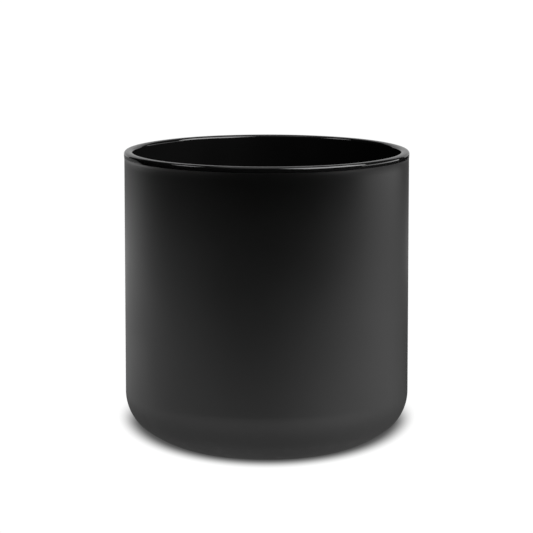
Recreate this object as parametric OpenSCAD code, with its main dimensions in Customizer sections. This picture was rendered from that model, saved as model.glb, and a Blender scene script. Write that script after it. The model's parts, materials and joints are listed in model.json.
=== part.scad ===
// Empty candle jar: a straight-sided black glass tumbler with a sprayed matte coat outside.
// +Z is up, and the origin is the centre of the standing ring on the surface below it. Units are mm.
// Every solid is a body of revolution about Z, drawn as a half section in the X-Z plane and turned.

/* [Vessel] */
// Outside diameter over the coated side wall
outer_d = 88; // [86:1:100]
// Height from the surface below to the top of the rim
height = 93.2; // [70:0.1:120]
// Thickness of the straight side wall, coat included
wall_t = 2.6; // [2.2:0.1:4]
// Thickness of the base at its centre, above the surface below
base_t = 7.5; // [6:0.5:12]

/* [Heel] */
// Height of the rounded heel, up to the straight side wall
heel_h = 18; // [17:0.1:19]
// Radius of the tight upper arc of the heel, next to the side wall
heel_upper_r = 14; // [13:0.1:15]
// Radius of the wide lower arc of the heel, which runs in flat at the bottom
heel_lower_r = 34; // [33:0.1:35]
// Radius of the hollow corner between the bore and the inside floor
inner_heel_r = 16; // [12:1:18]

/* [Rim] */
// How far the fire-polished rim swells past the coated side wall
rim_swell = 0.12; // [0.06:0.02:0.2]
// Radius of the gently domed top of the rim
rim_crown_r = 2.8; // [2.6:0.1:4]
// Radius of the two rounded corners of the rim
rim_corner_r = 0.8; // [0.5:0.1:1]
// Radius of the shoulder below the rim, where the swell runs back into the wall
rim_shoulder_r = 10.8; // [8:0.2:14]

/* [Foot] */
// Inside radius of the flat standing ring
ring_inner_r = 16.4; // [14:0.2:17]
// Depth of the push-up inside the standing ring
push_up_h = 1.6; // [1:0.1:2.5]

/* [Coat] */
// Thickness of the matte coat
coat_t = 0.12; // [0.1:0.02:0.2]
// Bare band between the top of the rim and the edge of the coat
rim_bare_h = 1.8; // [1.4:0.1:4]
// How far the bare foot reaches out past the flat standing ring
foot_bare_w = 1.3; // [1:0.1:2]
// Gap between the coat inside the push-up and the standing ring
push_up_bare_w = 0.9; // [0.5:0.1:2]

/* [Hidden] */
facets = 256;   // segments in a full turn when the shapes are shown as a mesh

outer_r = outer_d / 2;
bore_r = outer_r - wall_t;

// Heel: the lower arc is tangent to the bottom, and the upper arc is tangent to it and to the side wall
arc_gap = heel_lower_r - heel_upper_r;
heel_turn = asin((heel_lower_r - heel_h) / arc_gap);
upper_x = outer_r - heel_upper_r;
lower_x = upper_x - arc_gap * cos(heel_turn);
meet_z = heel_lower_r - heel_lower_r * sin(heel_turn);

// Rim: the crown touches both corner arcs, and the shoulder arc takes over below the outer one
rim_r = outer_r + rim_swell;
rim_mid_r = (rim_r + bore_r) / 2;
corner_x = (rim_r - bore_r) / 2 - rim_corner_r;
crown_z = height - rim_crown_r;
corner_z = crown_z + sqrt(pow(rim_crown_r - rim_corner_r, 2) - pow(corner_x, 2));
touch_x = corner_x * rim_crown_r / (rim_crown_r - rim_corner_r);

// Foot: the push-up is a shallow spherical cap whose edge is the inside of the standing ring
cap_r = (pow(ring_inner_r, 2) + pow(push_up_h, 2)) / (2 * push_up_h);
foot_r = lower_x + foot_bare_w;
patch_r = ring_inner_r - push_up_bare_w;
coat_top = height - rim_bare_h;

$fn = facets;

// A rectangle given by two opposite corners
module block(low, high) {
    translate(low) square(high - low);
}

// Half section of the outside, drawn inwards by inset. Its top is at most the rim's corner centres
module outside(top, inset = 0) {
    block([0, inset], [lower_x, heel_h]);
    intersection() {
        translate([lower_x, heel_lower_r]) circle(heel_lower_r - inset);
        block([0, 0], [outer_r, meet_z + inset * sin(heel_turn)]);
    }
    intersection() {
        translate([upper_x, heel_h]) circle(heel_upper_r - inset);
        block([upper_x, 0], [outer_r, heel_h]);
    }
    block([0, heel_h - heel_upper_r], [upper_x, heel_h]);
    block([0, heel_h], [outer_r - inset, top]);
    intersection() {
        translate([rim_r - rim_shoulder_r, corner_z]) circle(rim_shoulder_r - inset);
        block([0, heel_h], [rim_r, top]);
    }
}

// Half section of the rim: its two rounded corners and the domed crown between them
module rim() {
    for (side = [-1, 1])
        translate([rim_mid_r + side * corner_x, corner_z]) circle(rim_corner_r);
    intersection() {
        translate([rim_mid_r, crown_z]) circle(rim_crown_r);
        block([rim_mid_r - touch_x, coat_top], [rim_mid_r + touch_x, height]);
    }
}

// Half section of the space inside
module hollow() {
    heel_top = base_t + inner_heel_r;
    heel_x = bore_r - inner_heel_r;
    block([0, base_t], [heel_x, heel_top]);
    intersection() {
        translate([heel_x, heel_top]) circle(inner_heel_r);
        block([heel_x, base_t], [bore_r, heel_top]);
    }
    block([0, heel_top], [bore_r, height]);
}

// Half section of the push-up, out to a given radius and moved up by lift
module push_up(reach, lift = 0) {
    intersection() {
        translate([0, push_up_h - cap_r]) circle(cap_r - lift);
        block([0, 0], [reach, push_up_h]);
    }
}

// The glass: one formed piece with its rim, thick base, standing ring and push-up
module glass_vessel() {
    color([0.02, 0.02, 0.02]) rotate_extrude() {
        difference() {
            union() {
                outside(coat_top, coat_t);
                intersection() {
                    outside(corner_z);
                    union() {
                        block([0, 0], [foot_r, heel_h]);
                        block([0, coat_top], [rim_r, corner_z]);
                    }
                }
            }
            hollow();
            push_up(ring_inner_r);
        }
        rim();
    }
}

// The coat: a skin over the wall and heel, and a separate patch inside the push-up
module matte_coat() {
    color([0.09, 0.09, 0.09]) rotate_extrude() {
        difference() {
            outside(coat_top);
            outside(corner_z, coat_t);
            block([0, 0], [foot_r, base_t]);
        }
        difference() {
            push_up(patch_r);
            push_up(ring_inner_r, coat_t);
        }
    }
}

glass_vessel();
matte_coat();
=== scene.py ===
"""Empty candle jar: meshes, materials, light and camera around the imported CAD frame, in metres."""

import json
import math

import bmesh
import bpy
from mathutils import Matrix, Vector


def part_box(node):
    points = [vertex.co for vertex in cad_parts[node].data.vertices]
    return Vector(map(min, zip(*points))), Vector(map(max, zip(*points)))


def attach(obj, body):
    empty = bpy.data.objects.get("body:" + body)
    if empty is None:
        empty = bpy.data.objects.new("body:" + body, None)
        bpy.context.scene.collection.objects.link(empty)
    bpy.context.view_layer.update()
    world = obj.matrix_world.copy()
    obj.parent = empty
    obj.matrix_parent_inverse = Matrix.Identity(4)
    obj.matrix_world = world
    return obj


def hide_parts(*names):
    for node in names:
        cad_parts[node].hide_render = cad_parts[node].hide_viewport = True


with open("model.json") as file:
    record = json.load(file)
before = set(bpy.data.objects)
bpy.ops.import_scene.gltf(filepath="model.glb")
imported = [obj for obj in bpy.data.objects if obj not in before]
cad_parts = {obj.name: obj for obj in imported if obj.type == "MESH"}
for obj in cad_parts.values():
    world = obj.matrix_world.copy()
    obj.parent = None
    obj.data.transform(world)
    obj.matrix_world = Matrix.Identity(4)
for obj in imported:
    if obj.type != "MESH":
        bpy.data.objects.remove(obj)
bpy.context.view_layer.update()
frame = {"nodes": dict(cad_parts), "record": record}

MM = 0.001
TURN = 2 * math.pi
QUARTER = math.pi / 2

# ---------------------------------------------------------------- sizes from the frame

_, glass_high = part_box("glass_vessel")
_, coat_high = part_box("matte_coat")
mouth = next(m for m in frame["record"]["mounts"] if m["name"] == "mouth")

height = glass_high.z
rim_r = glass_high.x
coat_top = coat_high.z
bore_r = mouth["dims"]["r_mm"] * MM

# Shapes that the boxes don't give, the same values as in the CAD source
rim_swell = 0.12 * MM
coat_t = 0.12 * MM
heel_h = 18 * MM
heel_upper_r = 14 * MM
heel_lower_r = 34 * MM
inner_heel_r = 16 * MM
crown_r = 2.8 * MM
corner_r = 0.8 * MM
shoulder_r = 10.8 * MM
ring_inner_r = 16.4 * MM
foot_bare_w = 1.3 * MM
push_up_bare_w = 0.9 * MM

NEAR_AXIS = 1 * MM
HAIR = 0.01 * MM


def level_within(reach, pick):
    """Height of the lowest (pick=min) or highest (pick=max) CAD glass corner nearer the axis than reach."""
    corners = frame["nodes"]["glass_vessel"].data.vertices
    return pick(v.co.z for v in corners if v.co.xy.length < reach)


# The flat inside floor has corners only at its edge, where the inner heel starts
push_up_h = level_within(NEAR_AXIS, min)
floor_z = level_within(bore_r - inner_heel_r + HAIR, max)

# Heel: a wide lower arc, and a tight upper arc that runs into the side wall
outer_r = rim_r - rim_swell
arc_gap = heel_lower_r - heel_upper_r
heel_turn = math.asin((heel_lower_r - heel_h) / arc_gap)
upper_x = outer_r - heel_upper_r
lower_x = upper_x - arc_gap * math.cos(heel_turn)

# Rim: a domed crown between two rounded corners, above the shoulder
rim_mid_r = (rim_r + bore_r) / 2
corner_x = (rim_r - bore_r) / 2 - corner_r
crown_z = height - crown_r
corner_z = crown_z + math.sqrt((crown_r - corner_r) ** 2 - corner_x**2)
crown_turn = math.atan2(corner_x, corner_z - crown_z)
shoulder_x = rim_r - shoulder_r

# Foot: the bare glass past the standing ring, and the coat patch inside the push-up
foot_r = lower_x + foot_bare_w
patch_r = ring_inner_r - push_up_bare_w
cap_r = (ring_inner_r**2 + push_up_h**2) / (2 * push_up_h)

# ---------------------------------------------------------------- half sections

# Steps along each stretch of a half section
PUSH_UP_STEPS = 16
FOOT_STEPS = 3
HEEL_LOWER_STEPS = 24
HEEL_UPPER_STEPS = 20
WALL_STEPS = 40
SHOULDER_STEPS = 10
CORNER_STEPS = 10
CROWN_STEPS = 8
BORE_STEPS = 36
INNER_HEEL_STEPS = 24
FLOOR_STEPS = 12


def arc(centre, radius, start, end, steps):
    """Points (r, z) on an arc. Angles are in radians, 0 outwards and a quarter turn up."""
    angles = [start + (end - start) * i / steps for i in range(steps + 1)]
    return [(centre[0] + radius * math.cos(a), centre[1] + radius * math.sin(a)) for a in angles]


def line(start, end, steps):
    """Points (r, z) on a straight line, without the first one."""
    return [
        (start[0] + (end[0] - start[0]) * i / steps, start[1] + (end[1] - start[1]) * i / steps)
        for i in range(1, steps + 1)
    ]


def heel(inset):
    """The outside of the heel from the bare foot up to the straight wall, drawn inwards by inset."""
    lower = heel_lower_r - inset
    start = -math.acos((foot_r - lower_x) / lower)
    low = arc((lower_x, heel_lower_r), lower, start, -heel_turn, HEEL_LOWER_STEPS)
    high = arc((upper_x, heel_h), heel_upper_r - inset, -heel_turn, 0, HEEL_UPPER_STEPS)
    return low + high[1:]


def shoulder(inset, low, high):
    """The flare below the rim, between two heights, drawn inwards by inset."""
    radius = shoulder_r - inset
    start, end = (math.asin((z - corner_z) / radius) for z in (low, high))
    return arc((shoulder_x, corner_z), radius, start, end, SHOULDER_STEPS)


def wall(inset):
    """The straight side from the heel up to the shoulder, without its first point."""
    radius = outer_r - inset
    drop = math.sqrt((shoulder_r - inset) ** 2 - (radius - shoulder_x) ** 2)
    return line((radius, heel_h), (radius, corner_z - drop), WALL_STEPS)


def coated_side(inset):
    """The outside where the coat covers it, from the bare foot to its top edge, drawn inwards by inset."""
    points = heel(inset) + wall(inset)
    return points + shoulder(inset, points[-1][1], coat_top)[1:]


def push_up(inset, reach):
    """The shallow dome under the base, from the axis out to a radius, moved down by inset."""
    radius = cap_r - inset
    end = QUARTER - math.asin(reach / radius)
    return arc((0, push_up_h - cap_r), radius, QUARTER, end, PUSH_UP_STEPS)


def rim():
    """The rim from the top of the shoulder over the crown to the bore, without its first point."""
    outer, inner = (QUARTER - crown_turn, QUARTER + crown_turn)
    points = arc((rim_mid_r + corner_x, corner_z), corner_r, 0, outer, CORNER_STEPS)[1:]
    points += arc((rim_mid_r, crown_z), crown_r, outer, inner, CROWN_STEPS)[1:]
    return points + arc((rim_mid_r - corner_x, corner_z), corner_r, inner, math.pi, CORNER_STEPS)[1:]


def glass_section():
    """The glass from the axis underneath, round the outside and the rim, to the axis inside."""
    points = push_up(0, ring_inner_r)
    points += line((ring_inner_r, 0), (lower_x, 0), FOOT_STEPS)
    bare = math.acos((foot_r - lower_x) / heel_lower_r)
    points += arc((lower_x, heel_lower_r), heel_lower_r, -QUARTER, -bare, FOOT_STEPS)[1:]
    points += coated_side(coat_t)
    points += shoulder(0, coat_top, corner_z)
    points += rim()
    inner_x = bore_r - inner_heel_r
    inner_top = floor_z + inner_heel_r
    points += line((bore_r, corner_z), (bore_r, inner_top), BORE_STEPS)
    points += arc((inner_x, inner_top), inner_heel_r, 0, -QUARTER, INNER_HEEL_STEPS)[1:]
    return points + line((inner_x, floor_z), (0, floor_z), FLOOR_STEPS)


def coat_section():
    """The coat as a closed skin: up the outside and down against the glass."""
    return coated_side(0) + coated_side(coat_t)[::-1]


def patch_section():
    """The coat inside the push-up: a thin lens between the glass and the air below it."""
    return push_up(coat_t, patch_r) + push_up(0, patch_r)[::-1]


# ---------------------------------------------------------------- meshes

SEGMENTS = 288  # steps round the jar
ON_AXIS = 1e-7  # a point nearer the axis than this is on it
SHARP = math.radians(32)  # an edge that turns more than this stays sharp

# Waves round the jar, as (count, phase) pairs
RIM_WAVES = ((2, 0.4), (3, 2.1), (5, 4.0), (9, 1.3))
EDGE_WAVES = ((4, 1.0), (7, 0.2), (13, 3.3), (29, 5.1), (53, 2.6))

# How deep the waves go either way, and how far below the rim or the coat's edge they have died out
RIM_SAG = 0.03 * MM
RIM_SAG_REACH = 4 * MM
EDGE_WANDER = 0.05 * MM
EDGE_WANDER_REACH = 0.5 * MM


def ripple(angle, waves):
    """A smooth wave round the jar between -1 and 1."""
    return sum(math.sin(count * angle + phase) for count, phase in waves) / len(waves)


def ease(value, low, high):
    """0 below low, 1 above high, smooth between."""
    t = min(max((value - low) / (high - low), 0), 1)
    return t * t * (3 - 2 * t)


def rim_sag(angle, z):
    """A fire-polished rim is never quite level: it dips by a few hundredths of a millimetre."""
    return -RIM_SAG * (1 - ripple(angle, RIM_WAVES)) * ease(z, corner_z - RIM_SAG_REACH, height)


def edge_wave(angle, z):
    """The top edge of the sprayed coat wanders slightly up and down."""
    share = ease(z, coat_top - EDGE_WANDER_REACH, coat_top)
    return -EDGE_WANDER * (1 + ripple(angle, EDGE_WAVES)) * share


def placed(name, mesh):
    """Puts a finished bmesh into the scene as an object."""
    data = bpy.data.meshes.new(name)
    mesh.to_mesh(data)
    mesh.free()
    piece = bpy.data.objects.new(name, data)
    bpy.context.scene.collection.objects.link(piece)
    return piece


def ring(mesh, radius, z, shift):
    """The corners of one turn of a half section's point, or the one corner of a point on the axis."""
    if radius < ON_AXIS:
        return [mesh.verts.new((0, 0, z))]
    angles = [TURN * i / SEGMENTS for i in range(SEGMENTS)]
    return [mesh.verts.new((radius * math.cos(a), radius * math.sin(a), z + shift(a, z))) for a in angles]


def turned(name, section, shift=lambda angle, z: 0, closed=False):
    """Turns a half section about Z into an object. shift(angle, z) moves a point up or down."""
    mesh = bmesh.new()
    rings = [ring(mesh, radius, z, shift) for radius, z in section]
    pairs = list(zip(rings, rings[1:]))
    if closed:
        pairs.append((rings[-1], rings[0]))
    for low, high in pairs:
        for i in range(SEGMENTS):
            j = (i + 1) % SEGMENTS
            corners = [low[i % len(low)], low[j % len(low)], high[j % len(high)], high[i % len(high)]]
            mesh.faces.new(list(dict.fromkeys(corners)))
    bmesh.ops.recalc_face_normals(mesh, faces=mesh.faces)
    piece = placed(name, mesh)
    piece.data.shade_smooth()
    piece.data.set_sharp_from_angle(angle=SHARP)
    return piece


# ---------------------------------------------------------------- shader nodes


def new_material(name):
    """An empty node material with a Principled shader: (material, its nodes, link function, shader)."""
    material = bpy.data.materials.new(name)
    material.use_nodes = True
    tree = material.node_tree
    return material, tree.nodes, tree.links.new, tree.nodes["Principled BSDF"]


def noise(nodes, link, place, per_metre, detail=2.0, rough=0.5, stretch=(1, 1, 1)):
    """A noise value between 0 and 1 in object space. stretch scales the pattern along each axis."""
    mapping = nodes.new("ShaderNodeMapping")
    mapping.inputs["Scale"].default_value = [per_metre * s for s in stretch]
    link(place, mapping.inputs["Vector"])
    texture = nodes.new("ShaderNodeTexNoise")
    texture.inputs["Scale"].default_value = 1
    texture.inputs["Detail"].default_value = detail
    texture.inputs["Roughness"].default_value = rough
    link(mapping.outputs["Vector"], texture.inputs["Vector"])
    return texture.outputs["Fac"]


def remap(nodes, link, value, from_range, to_range, smooth=False):
    """A value moved from one range to another, held inside it, along a line or a smooth step."""
    node = nodes.new("ShaderNodeMapRange")
    node.interpolation_type = "SMOOTHSTEP" if smooth else "LINEAR"
    link(value, node.inputs["Value"])
    node.inputs["From Min"].default_value, node.inputs["From Max"].default_value = from_range
    node.inputs["To Min"].default_value, node.inputs["To Max"].default_value = to_range
    return node.outputs["Result"]


def math_node(nodes, link, operation, *values):
    """Two or three values, each a socket or a number, put through a Math node."""
    node = nodes.new("ShaderNodeMath")
    node.operation = operation
    for socket, value in zip(node.inputs, values):
        if isinstance(value, (int, float)):
            socket.default_value = value
        else:
            link(value, socket)
    return node.outputs[0]


def along(nodes, link, place, direction):
    """How far a place lies along a direction."""
    node = nodes.new("ShaderNodeVectorMath")
    node.operation = "DOT_PRODUCT"
    link(place, node.inputs[0])
    node.inputs[1].default_value = direction
    return node.outputs["Value"]


def away(nodes, link, place, centre, scale=(1, 1, 1)):
    """Distance of a place from a centre, in units of scale along each axis."""
    shift = nodes.new("ShaderNodeVectorMath")
    shift.operation = "SUBTRACT"
    link(place, shift.inputs[0])
    shift.inputs[1].default_value = centre
    divide = nodes.new("ShaderNodeVectorMath")
    divide.operation = "DIVIDE"
    link(shift.outputs["Vector"], divide.inputs[0])
    divide.inputs[1].default_value = scale
    length = nodes.new("ShaderNodeVectorMath")
    length.operation = "LENGTH"
    link(divide.outputs["Vector"], length.inputs[0])
    return length.outputs["Value"]


def bump(nodes, link, height_value, depth, under=None):
    """A bump of the given depth in metres, on top of another normal."""
    node = nodes.new("ShaderNodeBump")
    node.inputs["Strength"].default_value = 1
    node.inputs["Distance"].default_value = depth
    link(height_value, node.inputs["Height"])
    if under is not None:
        link(under, node.inputs["Normal"])
    return node.outputs["Normal"]


def grey_ramp(nodes, link, value, greys):
    """A neutral colour between two greys."""
    ramp = nodes.new("ShaderNodeValToRGB")
    for element, grey in zip(ramp.color_ramp.elements, greys):
        element.color = (grey, grey, grey, 1)
    link(value, ramp.inputs["Fac"])
    return ramp.outputs["Color"]


# ---------------------------------------------------------------- materials

UP = (0, 0, 1)

COAT_GREYS = (0.003, 0.007)
COAT_ROUGHNESS = (0.51, 0.57)
COAT_GRAIN_TONE = 0.35  # how much the grain adds to the blotches in the colour
COAT_SMOOTHER = -0.18  # change of roughness at the rim
COAT_SMOOTHER_FROM = 40 * MM
COAT_RUBBED = -0.06  # change of roughness where it is rubbed
COAT_RUBBED_TO = 1 * MM  # level at which the rubbing is full
COAT_PEEL_DEPTH = 0.006 * MM
COAT_GRAIN_DEPTH = 0.0025 * MM
COAT_IOR = 1.5

GLASS_GREYS = (0.003, 0.006)
GLASS_ROUGHNESS = (0.03, 0.09)
GLASS_SCUFFED = 0.35  # change of roughness on the standing ring
GLASS_SCUFF_LEVELS = (0.25 * MM, 0.02 * MM)
GLASS_WAVE_DEPTH = 0.025 * MM
GLASS_DRAWN_DEPTH = 0.0015 * MM
GLASS_IOR = 1.52

# The part of its noise's range that each pattern uses
BLOTCH_SPAN = (0.3, 0.7)
STREAK_SPAN = (0.5, 0.72)
SCRATCH_SPAN = (0.35, 0.6)
SMEAR_SPAN = (0.45, 0.75)
SCUFF_SHARES = (0.3, 1)  # how scuffed the ring is, between its scratches and on them


def matte_lacquer():
    """Sprayed and baked matte black: fine grain, faint orange peel, soft blotches and light rub marks."""
    material, nodes, link, shader = new_material("matte_lacquer")
    place = nodes.new("ShaderNodeTexCoord").outputs["Object"]
    level = along(nodes, link, place, UP)
    blotch = noise(nodes, link, place, per_metre=28, detail=3)
    grain = noise(nodes, link, place, per_metre=5200, detail=1.5, rough=0.6)
    peel = noise(nodes, link, place, per_metre=900)
    streaks = noise(nodes, link, place, per_metre=240, detail=3, stretch=(1, 1, 0.12))
    tone = math_node(nodes, link, "MULTIPLY_ADD", grain, COAT_GRAIN_TONE, blotch)
    link(grey_ramp(nodes, link, tone, COAT_GREYS), shader.inputs["Base Color"])
    # The spray lies a little smoother towards the rim
    spread = remap(nodes, link, blotch, BLOTCH_SPAN, COAT_ROUGHNESS)
    higher = remap(nodes, link, level, (COAT_SMOOTHER_FROM, height), (0, 1))
    even = math_node(nodes, link, "MULTIPLY_ADD", higher, COAT_SMOOTHER, spread)
    # Handling rubs the heel a little shinier, in broken patches
    low_down = remap(nodes, link, level, (heel_h, COAT_RUBBED_TO), (0, 1))
    patches = remap(nodes, link, streaks, STREAK_SPAN, (0, 1))
    rub = math_node(nodes, link, "MULTIPLY", low_down, patches)
    rough = math_node(nodes, link, "MULTIPLY_ADD", rub, COAT_RUBBED, even)
    link(rough, shader.inputs["Roughness"])
    under = bump(nodes, link, peel, COAT_PEEL_DEPTH)
    link(bump(nodes, link, grain, COAT_GRAIN_DEPTH, under), shader.inputs["Normal"])
    shader.inputs["IOR"].default_value = COAT_IOR
    return material


def black_glass():
    """Opaque black glass with a fire-polished gloss: slow waviness, faint draw lines, light smears."""
    material, nodes, link, shader = new_material("black_glass")
    place = nodes.new("ShaderNodeTexCoord").outputs["Object"]
    level = along(nodes, link, place, UP)
    wave = noise(nodes, link, place, per_metre=55, detail=1)
    drawn = noise(nodes, link, place, per_metre=420, stretch=(1, 1, 0.05))
    smear = noise(nodes, link, place, per_metre=90, detail=4, stretch=(1, 1, 0.6))
    scratch = noise(nodes, link, place, per_metre=3000)
    link(grey_ramp(nodes, link, wave, GLASS_GREYS), shader.inputs["Base Color"])
    # The standing ring is scuffed dull where it meets tables
    low_down = remap(nodes, link, level, GLASS_SCUFF_LEVELS, (0, 1))
    patches = remap(nodes, link, scratch, SCRATCH_SPAN, SCUFF_SHARES)
    scuff = math_node(nodes, link, "MULTIPLY", low_down, patches)
    clean = remap(nodes, link, smear, SMEAR_SPAN, GLASS_ROUGHNESS)
    rough = math_node(nodes, link, "MULTIPLY_ADD", scuff, GLASS_SCUFFED, clean)
    link(rough, shader.inputs["Roughness"])
    under = bump(nodes, link, wave, GLASS_WAVE_DEPTH)
    link(bump(nodes, link, drawn, GLASS_DRAWN_DEPTH, under), shader.inputs["Normal"])
    shader.inputs["IOR"].default_value = GLASS_IOR
    return material


# ---------------------------------------------------------------- the jar


def dress(piece, material, node):
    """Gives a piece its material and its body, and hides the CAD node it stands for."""
    piece.data.materials.append(material)
    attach(piece, "root")
    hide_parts(node)


glass = turned("glass_vessel_looks", glass_section(), rim_sag)
dress(glass, black_glass(), "glass_vessel")
lacquer = matte_lacquer()
coat = turned("matte_coat_looks", coat_section(), edge_wave, closed=True)
dress(coat, lacquer, "matte_coat")
patch = turned("matte_coat_under_looks", patch_section())
dress(patch, lacquer, "matte_coat")

# ---------------------------------------------------------------- floor and backdrop

WHITE = 1.02  # just over 1, so that the floor and the backdrop are both pure white
WORLD_LIGHT = 0.01
GROUND_RADIUS = 3  # wide enough for every view
GROUND_SEGMENTS = 96

# The contact shadow that the camera sees: an oval that reaches back, and fades away from its root
SHADOW_CENTRE = (0, 54.4 * MM, 0)
SHADOW_HALF = (42.2 * MM, 75.8 * MM, 1)
SHADOW_EDGE = (1, 1.175)  # its soft edge, as a share of the oval
SHADOW_ROOT = (0, -10 * MM, 0)
SHADOW_FADE = (60 * MM, 105 * MM)
SHADOW_DARKEST = 0.09

# The glow that the jar sees, where 1 is white. It rises from the middle to the right
GLOW_MIDDLE = 1.8
GLOW_RIGHT = 2.9
GLOW_RISE = (0, 0.05)

# Where the glow fades: between which two distances in metres, and its share at each
FADE_RIGHT = (0.12, 0.32), (1, 0.02)
FADE_FRONT = (-0.13, -0.1), (0, 1)
FADE_LEFT = (-0.21, -0.16), (0, 1)
FADE_ROUND = (0.3, 0.6), (1, 0.12)
SHADE_BESIDE = (0.045, 0.14), (0.15, 1)
SHADE_BEHIND = (0.09, 0.27), (0.02, 1)

AXIS = (0, 0, 0)
TO_RIGHT = (1, 0, 0)
TO_BACK = (0, 1, 0)
FROM_LEFT_EDGE = (0.76, 0.65, 0)  # square to the slanting edge on the left
BESIDE_CENTRE = (0, 0.03, 0)
BEHIND_CENTRE = (0.06, 0.19, 0)


def mix_by_camera(nodes, link, for_camera, for_light, output):
    """Shows the camera one shader and all else another, so that the white floor doesn't flood the jar."""
    path = nodes.new("ShaderNodeLightPath")
    mix = nodes.new("ShaderNodeMixShader")
    link(path.outputs["Is Camera Ray"], mix.inputs[0])
    link(for_light, mix.inputs[1])
    link(for_camera, mix.inputs[2])
    link(mix.outputs[0], output)


def contact_shadow(nodes, link, place):
    """Brightness of the floor for the camera: dark under the jar and behind it, with a soft edge."""
    oval = away(nodes, link, place, SHADOW_CENTRE, SHADOW_HALF)
    inside = remap(nodes, link, oval, SHADOW_EDGE, (1, 0), smooth=True)
    root = away(nodes, link, place, SHADOW_ROOT)
    near = remap(nodes, link, root, SHADOW_FADE, (1, 0), smooth=True)
    dark = math_node(nodes, link, "MULTIPLY", inside, near)
    return remap(nodes, link, dark, (0, 1), (1, SHADOW_DARKEST))


def floor_glow(nodes, link, place):
    """Radiance of the floor for the jar, which it lights from below."""
    side = along(nodes, link, place, TO_RIGHT)
    glow = remap(nodes, link, side, GLOW_RISE, (GLOW_MIDDLE, GLOW_RIGHT), smooth=True)
    fades = [
        (side, FADE_RIGHT),
        (along(nodes, link, place, TO_BACK), FADE_FRONT),
        (along(nodes, link, place, FROM_LEFT_EDGE), FADE_LEFT),
        (away(nodes, link, place, AXIS), FADE_ROUND),
        (away(nodes, link, place, BESIDE_CENTRE), SHADE_BESIDE),
        (away(nodes, link, place, BEHIND_CENTRE), SHADE_BEHIND),
    ]
    for distance, (between, shares) in fades:
        share = remap(nodes, link, distance, between, shares, smooth=True)
        glow = math_node(nodes, link, "MULTIPLY", glow, share)
    return glow


def white_ground():
    """A plain white floor: the camera sees its contact shadow, and the jar sees its glow."""
    material = bpy.data.materials.new("white_ground")
    material.use_nodes = True
    material.cycles.emission_sampling = "NONE"
    nodes, link = material.node_tree.nodes, material.node_tree.links.new
    nodes.clear()
    place = nodes.new("ShaderNodeTexCoord").outputs["Object"]
    lit = nodes.new("ShaderNodeEmission")
    link(contact_shadow(nodes, link, place), lit.inputs["Color"])
    lit.inputs["Strength"].default_value = WHITE
    glow = nodes.new("ShaderNodeEmission")
    link(floor_glow(nodes, link, place), glow.inputs["Strength"])
    output = nodes.new("ShaderNodeOutputMaterial")
    mix_by_camera(nodes, link, lit.outputs[0], glow.outputs[0], output.inputs["Surface"])
    return material


def ground():
    """A round floor."""
    mesh = bmesh.new()
    bmesh.ops.create_circle(mesh, cap_ends=True, segments=GROUND_SEGMENTS, radius=GROUND_RADIUS)
    piece = placed("ground", mesh)
    piece.data.materials.append(white_ground())


def white_background(nodes, strength):
    """A white background shader of the given strength."""
    shader = nodes.new("ShaderNodeBackground")
    shader.inputs["Color"].default_value = (1, 1, 1, 1)
    shader.inputs["Strength"].default_value = strength
    return shader.outputs[0]


def backdrop():
    """The world: white behind everything, and dim for light so that the lamps shape the jar."""
    world = bpy.data.worlds.new("studio")
    bpy.context.scene.world = world
    world.use_nodes = True
    nodes, link = world.node_tree.nodes, world.node_tree.links.new
    nodes.clear()
    white = white_background(nodes, WHITE)
    dim = white_background(nodes, WORLD_LIGHT)
    output = nodes.new("ShaderNodeOutputWorld")
    mix_by_camera(nodes, link, white, dim, output.inputs["Surface"])


ground()
backdrop()

# ---------------------------------------------------------------- lamps


def compass(azimuth, distance, z):
    """A place round the jar. Azimuth 0 is the camera's side and 90 is its right."""
    a = math.radians(azimuth)
    return Vector((distance * math.sin(a), -distance * math.cos(a), z))


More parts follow.
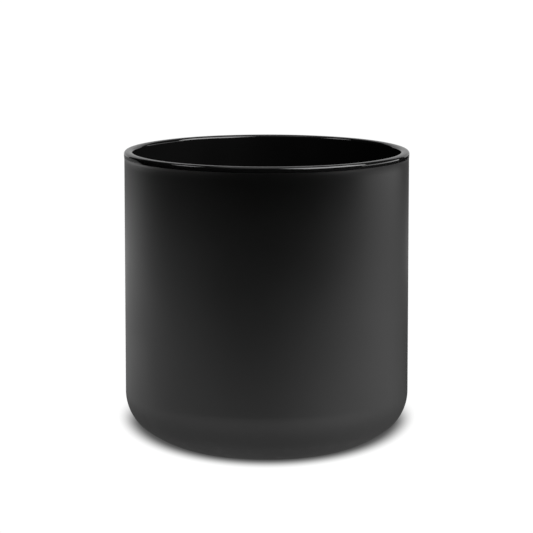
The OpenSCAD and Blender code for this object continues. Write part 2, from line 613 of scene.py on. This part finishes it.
def lamp(name, place, aim, size, glow):
    """A soft rectangle of size (wide, tall) and radiance glow, turned to the jar's axis at height aim."""
    light = bpy.data.lights.new(name, "AREA")
    light.shape = "RECTANGLE"
    light.size, light.size_y = size
    light.energy = glow * math.pi * light.size * light.size_y
    rig = bpy.data.objects.new(name, light)
    rig.location = place
    rig.rotation_mode = "QUATERNION"
    rig.rotation_quaternion = (Vector((0, 0, aim)) - place).to_track_quat("-Z", "Y")
    rig.visible_camera = False
    bpy.context.scene.collection.objects.link(rig)
    return rig


RIM_LEVEL = 0.09  # rounded

lamp("wall_right", compass(105, 0.8, 0.1), aim=0.1, size=(0.75, 0.2), glow=2.3)
lamp("wall_rear", compass(180, 0.6, 0.26), aim=0.26, size=(0.9, 0.46), glow=0.5)

# The softboxes draw the lines along the glossy rim, and light the glass only
softboxes = [
    lamp("softbox_rear", compass(180, 0.6, 0.2), aim=0.2, size=(0.9, 0.3), glow=0.45),
    lamp("softbox_right", compass(60, 0.5, 0.55), aim=RIM_LEVEL, size=(0.7, 0.55), glow=6.5),
    lamp("softbox_left", compass(-80, 0.5, 0.55), aim=RIM_LEVEL, size=(0.25, 0.2), glow=4),
    lamp("softbox_top", compass(180, 0.1, 0.9), aim=RIM_LEVEL, size=(0.5, 0.5), glow=1.2),
]
glossy_only = bpy.data.collections.new("glossy_only")
glossy_only.objects.link(glass)
for softbox in softboxes:
    softbox.light_linking.receiver_collection = glossy_only

# ---------------------------------------------------------------- camera

LENS = 214.4  # millimetres
SENSOR = 36  # millimetres
CLIP_START, CLIP_END = 0.01, 20
CAMERA_TILT = math.radians(8.8)  # below level
CAMERA_AWAY = 22.43 * outer_r  # from the point it looks at
AIM_HEIGHT = 1.289 * outer_r
AIM_SIDE = -0.06 * MM


def camera():
    """A long lens at the photograph's angle: a little above the rim, level across."""
    data = bpy.data.cameras.new("camera")
    data.lens = LENS
    data.sensor_width = SENSOR
    data.clip_start, data.clip_end = CLIP_START, CLIP_END
    rig = bpy.data.objects.new("camera", data)
    back = Vector((0, -math.cos(CAMERA_TILT), math.sin(CAMERA_TILT)))
    rig.location = Vector((AIM_SIDE, 0, AIM_HEIGHT)) + back * CAMERA_AWAY
    rig.rotation_mode = "QUATERNION"
    rig.rotation_quaternion = (-back).to_track_quat("-Z", "Y")
    bpy.context.scene.collection.objects.link(rig)
    bpy.context.scene.camera = rig


camera()
bpy.context.scene.view_settings.view_transform = "Standard"
